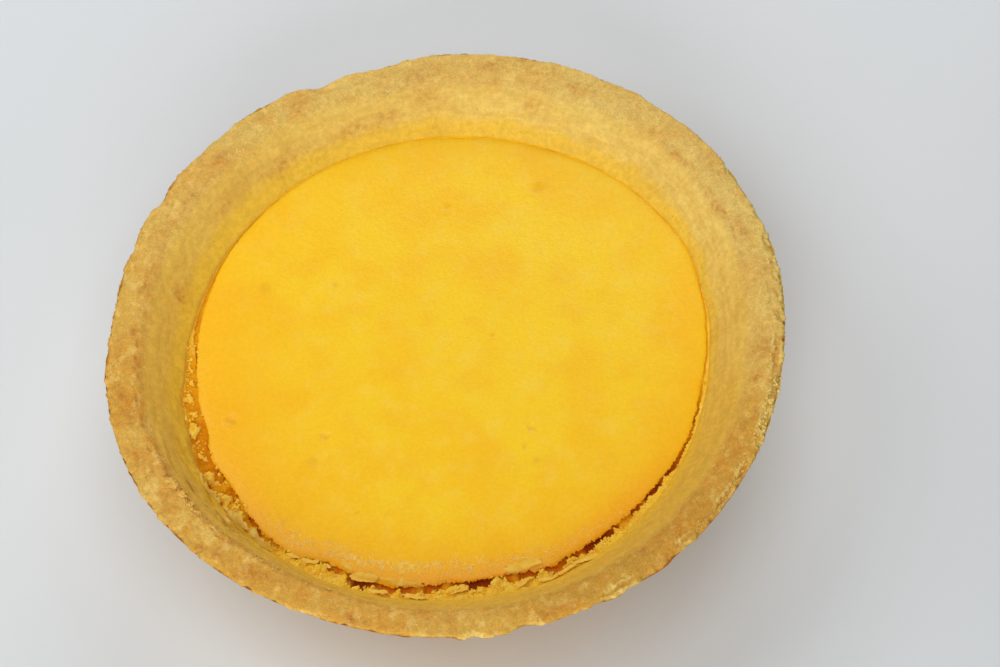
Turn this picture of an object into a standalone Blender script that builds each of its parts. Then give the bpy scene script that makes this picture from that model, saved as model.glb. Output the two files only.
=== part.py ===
"""A small baked cheese tart: a flared shortcrust shell with a flat rim, and a set cheese filling
that stands below the rim and has shrunk a little from the pastry as it cooled."""

import math

import bmesh
import bpy
from mathutils import Matrix, Vector

# The pastry shell, in metres
HEIGHT = 0.0200
RIM_RADIUS = 0.0425
RIM_WIDTH = 0.0040
LIP_HEIGHT = 0.0014  # the upright edge of the rim, above the flared wall
BASE_RADIUS = 0.0315
FLOOR_THICKNESS = 0.0042
FLOOR_RADIUS = 0.0290
WALL_AT_FILLING = 0.0342  # radius of the inner wall where the filling meets it
BASE_ROUND = 0.0016
RIM_OUTER_ROUND = 0.0006
RIM_INNER_ROUND = 0.0006
FLOOR_ROUND = 0.0020

# The cheese filling, in metres
FILLING_LEVEL = 0.0146
FILLING_CROWN = 0.0003  # how far its middle stands above the end of its shoulder
EDGE_RADIUS = 0.0326
SHOULDER_WIDTH = 0.0026
SHOULDER_DROP = 0.0008
CRACK_DEPTH = 0.0015
PIECE_GAP = 0.0003  # between the filling and the pastry round it

# How the hand-pressed rim leaves a true circle: azimuth, half width (degrees), push (metres)
RIM_SWELLS = (
    (38, 16, 0.0008),
    (68, 10, 0.0002),
    (99, 9, -0.0010),
    (168, 12, -0.0005),
    (197, 15, 0.0006),
    (240, 13, -0.0005),
    (286, 24, 0.0002),
    (341, 24, -0.0004),
)
RIM_WAVES = ((2, 40, 0.00015), (3, 200, 0.00012), (5, 95, 0.00008))  # turns, phase, height

# Where the top of the filling has shrunk most, in the same form as the rim's swells
EDGE_SWELLS = (
    (80, 40, -0.0003),
    (188, 30, -0.0009),
    (318, 24, -0.0003),
)

STEPS_ROUND = 96
FULL_TURN = 2 * math.pi


def swelled(azimuth, swells):
    """The sum of the swells at an azimuth in degrees, each a smooth bump round its middle."""
    total = 0.0
    for middle, half_width, push in swells:
        turn = (azimuth - middle + 180) % 360 - 180
        total += push * math.exp(-((turn / half_width) ** 2))
    return total


def rim_lift(azimuth):
    """How far the top of the rim stands above or below its mean height."""
    return sum(
        height * math.sin(math.radians(turns * azimuth + phase))
        for turns, phase, height in RIM_WAVES
    )


def box_middle():
    """The middle of the rim's bounding box, which the swells move off the shell's own axis."""
    xs = []
    ys = []
    for step in range(STEPS_ROUND):
        azimuth = 360 * step / STEPS_ROUND
        radius = RIM_RADIUS + swelled(azimuth, RIM_SWELLS)
        xs.append(radius * math.cos(math.radians(azimuth)))
        ys.append(radius * math.sin(math.radians(azimuth)))
    return Vector(((min(xs) + max(xs)) / 2, (min(ys) + max(ys)) / 2, 0))


def rounded(corner, before, after, radius, steps=3):
    """Points of an arc that rounds the corner between two straight runs of a profile."""
    corner = Vector(corner)
    back = (Vector(before) - corner).normalized()
    ahead = (Vector(after) - corner).normalized()
    half = back.angle(ahead) / 2
    reach = radius / math.tan(half)
    start = corner + back * reach
    end = corner + ahead * reach
    centre = corner + (back + ahead).normalized() * (radius / math.sin(half))
    swing = (start - centre).angle_signed(end - centre)
    return [
        centre + Matrix.Rotation(-swing * step / steps, 2) @ (start - centre)
        for step in range(steps + 1)
    ]


def shoulder(edge, level, width, drop, steps=4):
    """Points of a rounded edge, a quarter of an ellipse from the filling's side up to its top."""
    quarters = [math.radians(90 * step / steps) for step in range(steps + 1)]
    return [
        (edge - width * (1 - math.cos(turn)), level - drop * (1 - math.sin(turn)))
        for turn in quarters
    ]


def spun(name, profile):
    """One closed mesh from a profile of (radius, height) points that starts and ends on the axis."""
    mesh = bmesh.new()
    points = [mesh.verts.new((radius, 0, height)) for radius, height in profile]
    edges = [mesh.edges.new(pair) for pair in zip(points, points[1:])]
    bmesh.ops.spin(
        mesh,
        geom=points + edges,
        cent=(0, 0, 0),
        axis=(0, 0, 1),
        angle=FULL_TURN,
        steps=STEPS_ROUND,
        use_merge=True,
    )
    bmesh.ops.remove_doubles(mesh, verts=mesh.verts, dist=1e-6)
    bmesh.ops.recalc_face_normals(mesh, faces=mesh.faces)
    data = bpy.data.meshes.new(name)
    mesh.to_mesh(data)
    mesh.free()
    piece = bpy.data.objects.new(name, data)
    bpy.context.scene.collection.objects.link(piece)
    return piece


def reshaped(piece, shape):
    """Moves each vertex to shape(radius, azimuth in degrees, height)."""
    for vertex in piece.data.vertices:
        x, y, height = vertex.co
        radius = math.hypot(x, y)
        azimuth = math.degrees(math.atan2(y, x)) % 360
        radius, height = shape(radius, azimuth, height)
        angle = math.radians(azimuth)
        vertex.co = (radius * math.cos(angle), radius * math.sin(angle), height)
    piece.data.shade_smooth()
    piece.data.set_sharp_from_angle(angle=math.radians(35))


def baked_finish(name, colour, roughness):
    material = bpy.data.materials.new(name)
    material.use_nodes = True
    shader = material.node_tree.nodes["Principled BSDF"]
    shader.inputs["Base Color"].default_value = (*colour, 1)
    shader.inputs["Roughness"].default_value = roughness
    shader.inputs["Metallic"].default_value = 0
    return material


def inner_wall_radius(height):
    """The inner wall runs straight from the floor to the filling's level, then flares to the rim."""
    if height < FILLING_LEVEL:
        share = (height - FLOOR_THICKNESS) / (FILLING_LEVEL - FLOOR_THICKNESS)
        return FLOOR_RADIUS + share * (WALL_AT_FILLING - FLOOR_RADIUS)
    share = (height - FILLING_LEVEL) / (HEIGHT - FILLING_LEVEL)
    return WALL_AT_FILLING + share * (RIM_RADIUS - RIM_WIDTH - WALL_AT_FILLING)


def make_crust():
    """The pastry: a flat round floor and a flared wall, pressed in a plain tin and cut level."""
    base = (BASE_RADIUS, 0)
    lip = (RIM_RADIUS, HEIGHT - LIP_HEIGHT)
    rim_outer = (RIM_RADIUS, HEIGHT)
    rim_inner = (RIM_RADIUS - RIM_WIDTH, HEIGHT)
    wall = (WALL_AT_FILLING, FILLING_LEVEL)
    floor = (FLOOR_RADIUS, FLOOR_THICKNESS)
    profile = [
        (0, 0),
        (BASE_RADIUS / 2, 0),
        *rounded(base, (0, 0), lip, BASE_ROUND),
        ((BASE_RADIUS + RIM_RADIUS) / 2, (HEIGHT - LIP_HEIGHT) / 2),
        lip,
        *rounded(rim_outer, lip, rim_inner, RIM_OUTER_ROUND),
        *rounded(rim_inner, rim_outer, wall, RIM_INNER_ROUND, steps=2),
        wall,
        *rounded(floor, wall, (0, FLOOR_THICKNESS), FLOOR_ROUND, steps=2),
        (FLOOR_RADIUS / 2, FLOOR_THICKNESS),
        (0, FLOOR_THICKNESS),
    ]
    crust = spun("crust", profile)

    def pressed(radius, azimuth, height):
        above = max(0.0, (height - FILLING_LEVEL) / (HEIGHT - FILLING_LEVEL))
        is_inside = radius < inner_wall_radius(height) + RIM_WIDTH / 2
        share = above if is_inside else (height / HEIGHT) ** 2
        push = swelled(azimuth, RIM_SWELLS) * share
        return radius + push, height + rim_lift(azimuth) * above

    reshaped(crust, pressed)
    crust.data.materials.append(baked_finish("crust", (0.62, 0.36, 0.085), 0.85))
    return crust


def make_filling():
    """The cheese: one set block down to the floor, with a rounded edge and a crack round its top."""
    ledge = FILLING_LEVEL - CRACK_DEPTH
    bottom = FLOOR_THICKNESS + PIECE_GAP
    above_foot = bottom + FLOOR_ROUND
    profile = [
        (0, bottom),
        (FLOOR_RADIUS - FLOOR_ROUND, bottom),
        (inner_wall_radius(above_foot) - 2 * PIECE_GAP, above_foot),
        (inner_wall_radius(ledge) - PIECE_GAP, ledge),
        (EDGE_RADIUS, ledge),
        *shoulder(EDGE_RADIUS, FILLING_LEVEL, SHOULDER_WIDTH, SHOULDER_DROP),
        (EDGE_RADIUS / 2, FILLING_LEVEL + FILLING_CROWN),
        (0, FILLING_LEVEL + FILLING_CROWN),
    ]
    filling = spun("filling", profile)

    def shrunk(radius, azimuth, height):
        if height > ledge - PIECE_GAP / 2 and radius < EDGE_RADIUS + PIECE_GAP / 2:
            radius += swelled(azimuth, EDGE_SWELLS) * (radius / EDGE_RADIUS) ** 4
        return radius, height

    reshaped(filling, shrunk)
    filling.data.materials.append(baked_finish("filling", (0.94, 0.52, 0.03), 0.45))
    return filling


def main():
    for old in list(bpy.data.objects):
        bpy.data.objects.remove(old)
    shift = Matrix.Translation(-box_middle())
    for piece in (make_crust(), make_filling()):
        piece.data.transform(shift)


main()
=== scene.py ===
"""The look of a small baked cheese tart: a sandy shortcrust shell with a browned, crumbly rim, and a
set yellow cheese filling that has shrunk from the pastry and torn along its near and left sides."""

import math
import random

import bmesh
import bpy
from mathutils import Matrix, Vector, noise
from mathutils.bvhtree import BVHTree


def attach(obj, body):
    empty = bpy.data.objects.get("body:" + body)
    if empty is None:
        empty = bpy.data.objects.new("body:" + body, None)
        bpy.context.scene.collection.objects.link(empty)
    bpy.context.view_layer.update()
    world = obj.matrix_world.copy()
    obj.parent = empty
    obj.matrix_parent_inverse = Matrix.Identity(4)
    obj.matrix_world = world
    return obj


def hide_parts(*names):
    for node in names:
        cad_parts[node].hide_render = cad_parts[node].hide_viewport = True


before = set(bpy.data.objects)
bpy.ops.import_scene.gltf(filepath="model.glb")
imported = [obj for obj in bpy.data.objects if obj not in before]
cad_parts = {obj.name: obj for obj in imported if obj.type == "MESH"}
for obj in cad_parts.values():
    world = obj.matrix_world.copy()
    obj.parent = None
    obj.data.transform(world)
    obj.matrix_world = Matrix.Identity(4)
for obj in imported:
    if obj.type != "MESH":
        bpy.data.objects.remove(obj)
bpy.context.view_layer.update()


# ------------------------------------------------------------
# The pastry shell: sweet shortcrust, pressed by hand into a plain flared tin and cut level along
# the top. It is baked dry and sandy, golden with browner patches, and its rim has crumbled and
# split a little where it was handled.
# ------------------------------------------------------------

HEIGHT = 0.0200
RIM_RADIUS = 0.0425
RIM_WIDTH = 0.0040
LIP_HEIGHT = 0.0005  # the rim's visible edge turns straight into the flared outer wall
LIP_INSET = 0.0002
BASE_RADIUS = 0.0315
FLOOR_THICKNESS = 0.0042
FLOOR_RADIUS = 0.0290
WALL_AT_FILLING = 0.0342
BASE_ROUND = 0.0016
RIM_OUTER_ROUND = 0.0004
RIM_INNER_ROUND = 0.0006
FLOOR_ROUND = 0.0020
FILLING_LEVEL = 0.0146

# Azimuth and half width in degrees, push in metres
RIM_SWELLS = (
    (38, 16, 0.0008), (68, 10, 0.0002), (99, 9, -0.001), (168, 12, -0.0005), (197, 15, 0.0006),
    (240, 13, -0.0005), (286, 24, 0.0002), (341, 24, -0.0004),
)
RIM_WAVES = ((2, 40, 0.00015), (3, 200, 0.00012), (5, 95, 0.00008))  # turns, phase, height
CAD_STEPS = 96
SWELL_REACH = 4  # half widths, past which a swell is nothing

# Small dents and lumps in the rim's outline, in the same form as the swells
RIM_DENTS = (
    (5, 10, 0.0003), (42, 8, -0.0003), (48, 1.6, 0.00035), (60, 4, 0.0002), (86, 3, 0.00015),
    (101, 3, 0.0004), (107, 2.2, -0.0006), (113, 2.5, 0.0003), (121, 5, 0.0004), (138, 3, 0.0002),
    (144, 2, -0.0004), (149, 2.5, 0.0002), (155, 1.6, -0.0003), (180, 3, 0.0002),
    (196, 9, -0.0002), (262, 22, -0.00045), (286, 0.8, -0.0004), (329.5, 0.9, 0.0002),
)

# The visible inner wall has slumped inwards on its far and right sides: azimuth, and its radius at
# the filling
WALL_FEET = (
    (4, 0.0332), (19, 0.0338), (40, 0.0335), (60, 0.0331), (83, 0.0329), (110, 0.0328),
    (140, 0.0327), (160, 0.0327), (170, 0.033), (177, 0.0332), (184, 0.0339), (192, 0.0342),
    (201, 0.0348), (213, 0.0352), (228, 0.0351), (243, 0.035), (258, 0.0348), (270, 0.0347),
    (283, 0.0349), (295, 0.0345), (310, 0.0339), (322, 0.0335), (335, 0.033), (350, 0.0328),
)

# How deep the rounding of the rim's inner edge cuts, from a crisp left side to a soft right side
INNER_SOFTNESS = (
    (20, 0.00045), (100, 0.00045), (145, 0.00025), (170, 0.0001), (230, 0.00004), (262, 0.0002),
    (300, 0.0004), (340, 0.0005),
)
SOFT_REACH = 0.0022
WALL_FOOT = 0.0118  # where the upright inner wall under the filling's level starts

# Where the outer layer of the rim has split away: azimuth from and to, radius, width, depth
RIM_SPLITS = (
    (341, 351.5, 0.0411, 0.0006, 0.00024), (329, 341, 0.0413, 0.0003, 0.0001),
    (319.5, 325.5, 0.0416, 0.0005, 0.0003), (313, 320.5, 0.0416, 0.0004, 0.00024),
    (304, 309, 0.0416, 0.0004, 0.00014), (289, 297, 0.0416, 0.0004, 0.00016),
)

# Where the rim's outer edge crumbles, and where it has small scallops, in the same form as the swells
CRUMBLY_SIDES = ((350, 30, 0.55), (212, 34, 0.60), (150, 20, 0.2), (278, 30, 0.5))
SCALLOPED_SIDES = ((277, 26, 0.0006),)
# Where its inner edge has broken, where crumbs are packed in clumps, and how deep the wall is creased
BROKEN_SIDES = ((208, 34, 0.00034),)
CLUMPED_SIDES = ((205, 40, 1.0),)
CREASED_SIDES = ((211, 24, 0.00040),)
# How much lower the cheese's stain ends on the wall
LOW_STAIN_SIDES = ((345, 40, 0.0012),)

# Where the brown surface has flaked off the edge, to pale crumb: azimuth from and to, inner radius
FLAKED_EDGES = (
    (326.5, 343.5, 0.0413), (346, 372, 0.0416), (372, 388, 0.0422), (264.5, 272, 0.0414),
    (277, 281, 0.0416), (283, 289, 0.042), (236, 243, 0.0416),
)

# How cracked the inner edge of the rim is, round it: azimuth, strength
INNER_CRACKS = (
    (5, 0.3), (15, 0.8), (33, 0.6), (50, 0.1), (120, 0.1), (165, 0.5), (178, 1), (194, 0.8),
    (200, 1), (225, 0.9), (245, 0.3), (330, 0.2),
)

# Browned patches of the rim and inner wall: azimuth, radius, half size along and across, strength
BROWN_PATCHES = (
    (218.9, 0.0416, 0.001, 0.0006, 0.9), (222, 0.0408, 0.0011, 0.0007, 0.8),
    (229.5, 0.0402, 0.0022, 0.001, 0.8), (236, 0.0393, 0.002, 0.0008, 0.5),
    (247.9, 0.0409, 0.0011, 0.0008, 1), (262, 0.0395, 0.003, 0.0012, 0.3),
    (281, 0.041, 0.0016, 0.0008, 0.7), (284.5, 0.0409, 0.0016, 0.0006, 0.6),
    (300.4, 0.0393, 0.0005, 0.0005, 0.9), (307, 0.0402, 0.0018, 0.0008, 0.4),
    (311, 0.0385, 0.0005, 0.0004, 0.7), (326, 0.0402, 0.0018, 0.001, 0.4),
    (331, 0.0396, 0.0007, 0.0005, 1), (333.5, 0.0403, 0.0012, 0.0008, 0.6),
    (340.7, 0.0392, 0.0008, 0.0004, 0.9), (347, 0.0395, 0.0018, 0.0012, 0.5),
    (13, 0.0397, 0.0026, 0.0007, 0.7), (20.5, 0.0384, 0.003, 0.0006, 0.8),
    (33, 0.0386, 0.0026, 0.0006, 0.7), (27, 0.0404, 0.003, 0.0008, 0.3),
    (57.6, 0.0398, 0.0024, 0.0009, 0.6), (66, 0.0363, 0.0024, 0.0008, 0.5),
    (75.7, 0.0403, 0.0014, 0.0009, 0.6), (87, 0.0366, 0.002, 0.0007, 0.6),
    (88.5, 0.0397, 0.0034, 0.0012, 0.5), (97, 0.0358, 0.002, 0.0007, 0.6),
    (104, 0.0354, 0.0034, 0.0007, 0.6), (112, 0.04, 0.0026, 0.001, 0.4),
    (121, 0.0352, 0.0032, 0.0008, 0.6), (130.4, 0.0398, 0.0016, 0.0008, 0.7),
    (137, 0.0357, 0.003, 0.0008, 0.4), (140.7, 0.0391, 0.0014, 0.0006, 0.6),
    (150, 0.0395, 0.002, 0.0008, 0.4), (161.5, 0.039, 0.0016, 0.0005, 0.9),
    (160, 0.035, 0.0018, 0.0007, 0.7), (171.7, 0.0391, 0.0012, 0.0005, 0.9),
    (178, 0.0386, 0.0022, 0.0004, 0.9), (185.4, 0.0406, 0.0008, 0.0006, 0.8),
    (190, 0.04, 0.0016, 0.001, 0.6), (198, 0.0408, 0.0014, 0.0008, 0.6),
    (203.7, 0.0388, 0.001, 0.0004, 0.8), (208, 0.0404, 0.0016, 0.0009, 0.4),
)

PATCH_REACH = 12  # degrees, past which a patch is nothing

# Steps of the profile along the base, up the outer wall, across the rim, down the inner wall, and
# down to the wall's upright foot
BASE_STEPS, OUTER_STEPS, RIM_STEPS, INNER_STEPS, FOOT_STEPS = 9, 24, 22, 16, 4
COARSE_STEPS = 400  # round the axis, before any is halved
MOST_HALVINGS = 3
NEAR_FROM, NEAR_TO = 170, 345  # the azimuths of the inner wall's near side
RIM_DEPTH = 0.0012  # how far down the rim's own crumbs and cracks reach
SAME_HEIGHT = 1e-6  # how level and how round an edge has to be to run along a ring
SAME_RADIUS = 4e-6
SLACK = 1e-5  # for telling which ring of a profile a vertex is on

# How brown the oven left each side, from 0, palest, to 1: azimuth, brownness
OVEN_TONES = (
    (10, 0.15), (40, 0.1), (75, 0.15), (110, 0.25), (140, 0.45), (165, 0.75), (185, 0.9),
    (205, 0.6), (222, 0.9), (245, 0.85), (270, 0.75), (300, 0.8), (330, 0.6), (350, 0.28),
)
# Where painted shade darkens it further, most on the near right side, in the same form as the rim's
# swells
PAINTED_SHADE_SIDES = ((312, 28, 0.62), (283, 12, 0.10))
# How golden the cheese's fat turned the inner wall, round it: azimuth, strength
GOLDEN_SIDES = (
    (20, 0), (75, 0), (110, 0.3), (140, 0.6), (180, 0.8), (300, 1), (335, 0.9), (350, 0.5),
)


def turn_from(middle, azimuth):
    """The turn in degrees from one azimuth to another, the short way round."""
    return (azimuth - middle + 180) % 360 - 180


def swelled(azimuth, swells):
    """The sum of the swells at an azimuth in degrees, each a smooth bump round its middle."""
    total = 0.0
    for middle, half_width, push in swells:
        turn = turn_from(middle, azimuth)
        if abs(turn) < SWELL_REACH * half_width:
            total += push * math.exp(-((turn / half_width) ** 2))
    return total


def smooth(share):
    return share * share * (3 - 2 * share)


def eased(value, low, high):
    """0 at or below low, 1 at or above high, and smooth between."""
    return smooth(min(1.0, max(0.0, (value - low) / (high - low))))


def eased_round(azimuth, points):
    """The value at an azimuth, eased between (azimuth, value) points that go once round."""
    start, before = points[-1]
    start -= 360
    for end, after in (*points, (points[0][0] + 360, points[0][1])):
        if azimuth < end:
            return before + (after - before) * smooth((azimuth - start) / (end - start))
        start, before = end, after


def rim_lift(azimuth):
    return sum(
        height * math.sin(math.radians(turns * azimuth + phase))
        for turns, phase, height in RIM_WAVES
    )


def box_middle():
    """The middle of the rim's bounding box, which the swells move off the shell's own axis."""
    xs = []
    ys = []
    for step in range(CAD_STEPS):
        azimuth = 360 * step / CAD_STEPS
        radius = RIM_RADIUS + swelled(azimuth, RIM_SWELLS)
        xs.append(radius * math.cos(math.radians(azimuth)))
        ys.append(radius * math.sin(math.radians(azimuth)))
    return Vector(((min(xs) + max(xs)) / 2, (min(ys) + max(ys)) / 2, 0))


def inner_wall_radius(height):
    if height < FILLING_LEVEL:
        share = (height - FLOOR_THICKNESS) / (FILLING_LEVEL - FLOOR_THICKNESS)
        return FLOOR_RADIUS + share * (WALL_AT_FILLING - FLOOR_RADIUS)
    share = (height - FILLING_LEVEL) / (HEIGHT - FILLING_LEVEL)
    return WALL_AT_FILLING + share * (RIM_RADIUS - RIM_WIDTH - WALL_AT_FILLING)


def rounded(corner, before, after, radius, steps):
    """Points of an arc that rounds the corner between two straight runs of a profile."""
    corner = Vector(corner)
    back = (Vector(before) - corner).normalized()
    ahead = (Vector(after) - corner).normalized()
    half = back.angle(ahead) / 2
    reach = radius / math.tan(half)
    start = corner + back * reach
    end = corner + ahead * reach
    centre = corner + (back + ahead).normalized() * (radius / math.sin(half))
    swing = (start - centre).angle_signed(end - centre)
    return [
        centre + Matrix.Rotation(-swing * step / steps, 2) @ (start - centre)
        for step in range(steps + 1)
    ]


def traced(start, *legs):
    """Points of a profile from its start on, each leg a (number of even steps, end point) pair."""
    points = [start]
    for steps, end in legs:
        start = Vector(points[-1])
        points += [start.lerp(Vector(end), step / steps) for step in range(1, steps)]
        points.append(end)
    return points


def polar(place):
    return place.xy.length, math.degrees(math.atan2(place.y, place.x)) % 360


def halve_rings(mesh, wanted):
    """Halves the edges that run round the axis as often as wanted(radius, height, azimuth) says."""
    for halving in range(1, MOST_HALVINGS + 1):
        chosen = []
        for edge in mesh.edges:
            first, second = edge.verts
            level = abs(first.co.z - second.co.z) < SAME_HEIGHT
            if level and abs(first.co.xy.length - second.co.xy.length) < SAME_RADIUS:
                radius, azimuth = polar((first.co + second.co) / 2)
                if wanted(radius, first.co.z, azimuth) >= halving:
                    chosen.append(edge)
        bmesh.ops.subdivide_edges(mesh, edges=chosen, cuts=1)


def turned(profile, wanted):
    """A profile of (radius, height) points spun round the axis, with its steps halved where wanted."""
    mesh = bmesh.new()
    points = [mesh.verts.new((radius, 0, height)) for radius, height in profile]
    edges = [mesh.edges.new(pair) for pair in zip(points, points[1:])]
    bmesh.ops.spin(
        mesh,
        geom=points + edges,
        cent=(0, 0, 0),
        axis=(0, 0, 1),
        angle=2 * math.pi,
        steps=COARSE_STEPS,
        use_merge=True,
    )
    bmesh.ops.remove_doubles(mesh, verts=mesh.verts, dist=1e-7)
    halve_rings(mesh, wanted)
    bmesh.ops.recalc_face_normals(mesh, faces=mesh.faces)
    return mesh


def from_polar(radius, azimuth, height):
    angle = math.radians(azimuth)
    return Vector((radius * math.cos(angle), radius * math.sin(angle), height))


def lumps(place, size, seed=0):
    """Smooth noise from about -1 to 1, with lumps of about the given size in metres."""
    return noise.noise(place / size + Vector((seed * 7.3, seed * 3.1, seed * 5.7)))


def in_scene(name, data):
    """A new object of the scene for a mesh, lamp or camera."""
    thing = bpy.data.objects.new(name, data)
    bpy.context.scene.collection.objects.link(thing)
    return thing


BREAK_ANGLE = 65  # degrees: a steeper turn between two faces is a sharp break


def piece_from(mesh, name, rows=(), break_angle=BREAK_ANGLE):
    """The finished mesh as an object, shifted to the frame, with each vertex's row of marks."""
    bmesh.ops.recalc_face_normals(mesh, faces=mesh.faces)
    data = bpy.data.meshes.new(name)
    mesh.to_mesh(data)
    mesh.free()
    for mark in rows[0] if rows else ():
        layer = data.attributes.new(mark, "FLOAT", "POINT")
        layer.data.foreach_set("value", [row[mark] for row in rows])
    data.transform(Matrix.Translation(-box_middle()))
    data.shade_smooth()
    data.set_sharp_from_angle(angle=math.radians(break_angle))
    return in_scene(name, data)


def crumbliness(azimuth):
    """How rough the rim's outer edge is: most on its near and right sides, least on its far side."""
    return 0.45 + swelled(azimuth, CRUMBLY_SIDES)


def grains(place, size):
    """Relief of packed crumbs of about the given size: 1 on top of one, 0 in the dips between."""
    middle = noise.voronoi(place / size)[0][0]
    return max(0.0, 1 - 1.7 * middle * middle)


def split(place, azimuth, radius):
    """How far the rim has dropped in its splits here, and how near this is to a split's pale lip."""
    depth = 0.0
    lip = 0.0
    wander = 0.00035 * lumps(place, 0.0013, 15) + 0.00035 * lumps(place, 0.0005, 16)
    for start, end, middle, width, drop in RIM_SPLITS:
        if start < azimuth < end:
            taper = eased(min(azimuth - start, end - azimuth), 0, 2.5)
            inner = middle - width / 2 * taper + wander
            outer = middle + width / 2 * taper + wander / 3
            past = eased(radius, outer, outer + 0.0003)
            depth += drop * taper * eased(radius, inner, inner + 0.0001) * (1 - 0.75 * past)
            lip = max(lip, taper * math.exp(-(((radius - inner + 0.00015) / 0.00018) ** 2)))
            lip = max(lip, taper * 0.8 * past)
    return depth, lip


def flaking(place, azimuth, radius):
    """1 where the brown surface has flaked off the outer edge, with a ragged line to the rest."""
    ragged = 0.0005 * lumps(place, 0.0013, 17) + 0.0004 * lumps(place, 0.0005, 18)
    for start, end, inner in FLAKED_EDGES:
        turn = (azimuth - start) % 360
        if turn < end - start:
            taper = eased(min(turn, end - start - turn), 0, 3)
            line = inner + 0.0010 * (1 - taper) + ragged
            return eased(radius, line - 0.00005, line + 0.0001)
    return 0.0


def oven_tone_and_shade(azimuth):
    """How brown the oven left this side, pale to gold up to 1; above that, painted shade darker still.
    """
    return eased_round(azimuth, OVEN_TONES) + swelled(azimuth, PAINTED_SHADE_SIDES)


def browning(place, azimuth, radius):
    """How brown the pastry is here, from the listed patches."""
    total = 0.0
    for middle, at_radius, along, across, strength in BROWN_PATCHES:
        turn = turn_from(middle, azimuth)
        if abs(turn) < PATCH_REACH:
            round_way = math.radians(turn) * at_radius / along
            in_way = (radius - at_radius) / across
            away = math.hypot(round_way, in_way) * (1 + 0.5 * lumps(place, 0.0012, 3))
            total = max(total, strength * math.exp(-(away**2) * 1.2))
    return total


def wall_push(azimuth, height):
    """How far the visible inner wall stands outside the CAD's straight one, or inside it."""
    foot = eased_round(azimuth, WALL_FEET) - WALL_AT_FILLING
    if height > FILLING_LEVEL:
        return foot * (HEIGHT - height) / (HEIGHT - FILLING_LEVEL)
    upright = WALL_AT_FILLING - inner_wall_radius(height)
    return (foot + upright) * eased(height, WALL_FOOT - 0.0006, WALL_FOOT + 0.0006)


def wall_radius(azimuth, height):
    """Where the visible inner wall stands, above the floor of the crack."""
    above = max(0.0, (height - FILLING_LEVEL) / (HEIGHT - FILLING_LEVEL))
    swell = swelled(azimuth, RIM_SWELLS) * above
    return inner_wall_radius(height) + swell + wall_push(azimuth, height)


def crust_profile():
    base = (BASE_RADIUS, 0)
    lip = (RIM_RADIUS - LIP_INSET, HEIGHT - LIP_HEIGHT)
    rim_outer = (RIM_RADIUS, HEIGHT)
    rim_inner = (RIM_RADIUS - RIM_WIDTH, HEIGHT)
    wall = (WALL_AT_FILLING, FILLING_LEVEL)
    wall_foot = (inner_wall_radius(WALL_FOOT), WALL_FOOT)
    floor = (FLOOR_RADIUS, FLOOR_THICKNESS)
    base_bend = rounded(base, (0, 0), lip, BASE_ROUND, 4)
    outer_bend = rounded(rim_outer, lip, rim_inner, RIM_OUTER_ROUND, 4)
    inner_bend = rounded(rim_inner, rim_outer, wall, RIM_INNER_ROUND, 3)
    return [
        *traced((0, 0), (BASE_STEPS, base_bend[0])),
        *base_bend[1:-1],
        *traced(base_bend[-1], (OUTER_STEPS, lip)),
        *outer_bend[:-1],
        *traced(outer_bend[-1], (RIM_STEPS, inner_bend[0])),
        *inner_bend[1:-1],
        *traced(inner_bend[-1], (INNER_STEPS, wall), (FOOT_STEPS, wall_foot)),
        *rounded(floor, wall, (0, FLOOR_THICKNESS), FLOOR_ROUND, 2),
        (FLOOR_RADIUS / 2, FLOOR_THICKNESS),
        (0, FLOOR_THICKNESS),
    ]


def is_inside(radius, height):
    """Whether a point of the profile is on the side of the shell that holds the filling."""
    return height > FLOOR_THICKNESS / 2 and radius < inner_wall_radius(height) + RIM_WIDTH / 2


def crust_halvings(radius, height, azimuth):
    """How finely the shell is divided: most on the rim and on the near side of the inner wall."""
    if is_inside(radius, height):
        if height < FILLING_LEVEL - 0.0008:
            return 0
        return 2 if NEAR_FROM < azimuth < NEAR_TO or height > HEIGHT - RIM_DEPTH else 1
    if height > HEIGHT - LIP_HEIGHT - SLACK:
        return 2
    return 1 if height > 0.0010 else 0


def pressed(radius, azimuth, height, inside):
    """Where hands and oven moved a point of the plain turned shell, its fine relief left out."""
    above = max(0.0, (height - FILLING_LEVEL) / (HEIGHT - FILLING_LEVEL))
    lift = rim_lift(azimuth) * above
    push = swelled(azimuth, RIM_SWELLS) * (above if inside else (height / HEIGHT) ** 2)
    if inside:
        push += wall_push(azimuth, height)
    inner_edge = Vector((RIM_RADIUS - RIM_WIDTH, HEIGHT))
    weight = 0.0 if inside and height < HEIGHT - LIP_HEIGHT else eased(height, 0.010, 0.0195)
    if height > HEIGHT - LIP_HEIGHT:
        weight *= eased(radius - RIM_RADIUS + RIM_WIDTH, 0.0012, 0.0036)
    on_rim = from_polar(RIM_RADIUS, azimuth, 0)
    scallops = swelled(azimuth, SCALLOPED_SIDES) * lumps(on_rim, 0.0019, 47)
    push += weight * (swelled(azimuth, RIM_DENTS) + scallops * eased(height, 0.016, 0.0195))
    nearness = 1 - (Vector((radius, height)) - inner_edge).length / SOFT_REACH
    if nearness > 0:
        cut = eased_round(azimuth, INNER_SOFTNESS) * nearness * nearness
        push += 0.44 * cut + 0.00045 * lumps(on_rim, 0.0055, 40) * nearness
        broken = swelled(azimuth, BROKEN_SIDES) * nearness * nearness
        push += broken * lumps(on_rim, 0.0013, 46)
        lift -= 0.90 * cut
    return from_polar(radius + push, azimuth, height + lift)


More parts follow.
